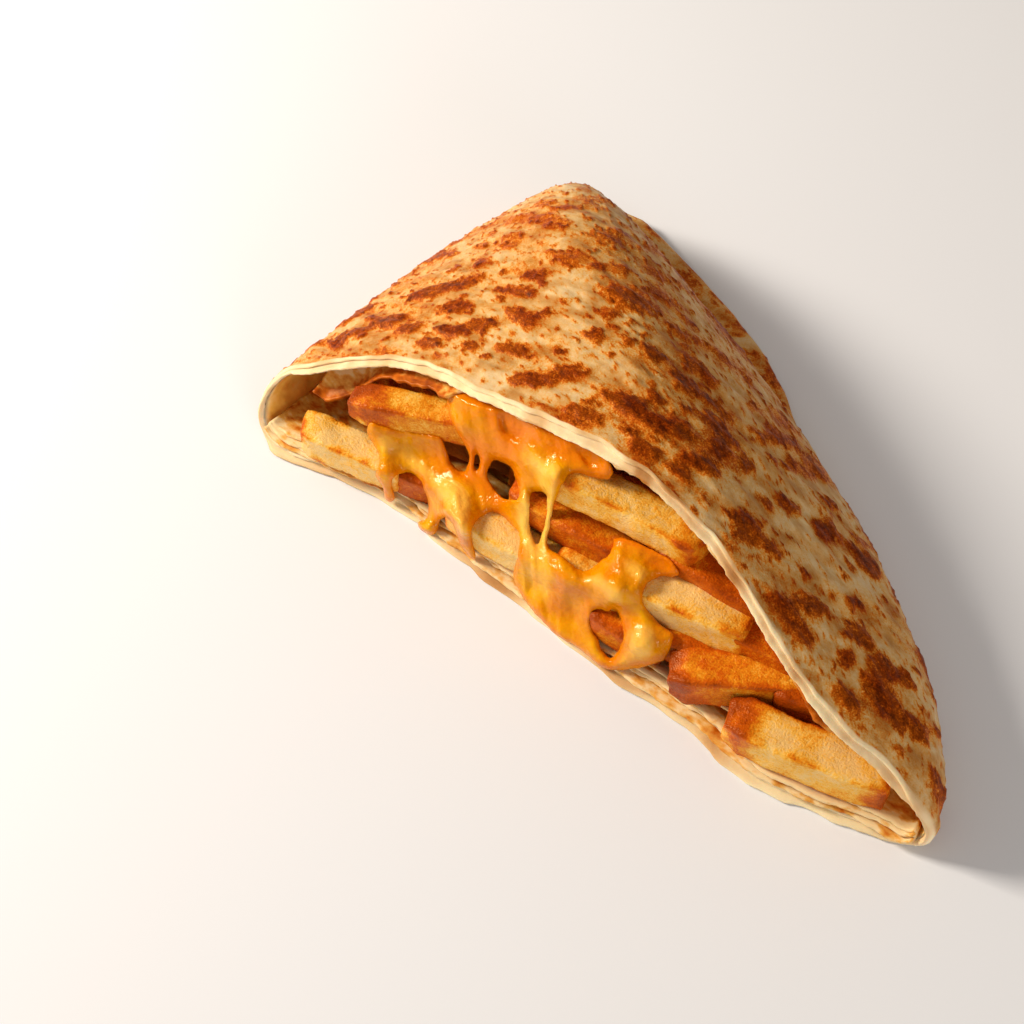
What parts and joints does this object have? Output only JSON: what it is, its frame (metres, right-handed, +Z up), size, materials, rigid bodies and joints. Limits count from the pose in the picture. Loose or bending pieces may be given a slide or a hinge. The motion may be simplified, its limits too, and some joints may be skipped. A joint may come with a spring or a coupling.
{
  "type": "cut half of a toasted flatbread wrap with chips and cheese",
  "caption": "Triangular half of a folded, toasted flatbread wrap, cut across to show potato chips and stretchy melted cheese inside; it rests flat on its underside.",
  "frame": {"origin": "middle of the bounding box's bottom face, on the surface that the wedge rests on", "axes": "+X runs along the cut from the closed fold towards the other end, +Y from the cut back towards the apex, +Z up"},
  "size_m": [0.19, 0.1182, 0.0476],
  "materials": {
    "wrap": "pan-toasted dough, cream with golden and dark brown spots, slightly oily",
    "inner_sheet": "soft translucent dough, oily, browned along the cut",
    "chips": "fried potato, pale yellow with crisp golden-brown edges and an oily shine",
    "cheese": "melted orange-yellow cheese, smooth and glossy"
  },
  "bodies": {
    "root": {"outer_wrap": "wrap", "inner_top_sheet": "inner_sheet", "inner_bottom_sheet": "inner_sheet", "chip_filling": "chips", "melted_cheese": "cheese"}
  },
  "joints": []
}
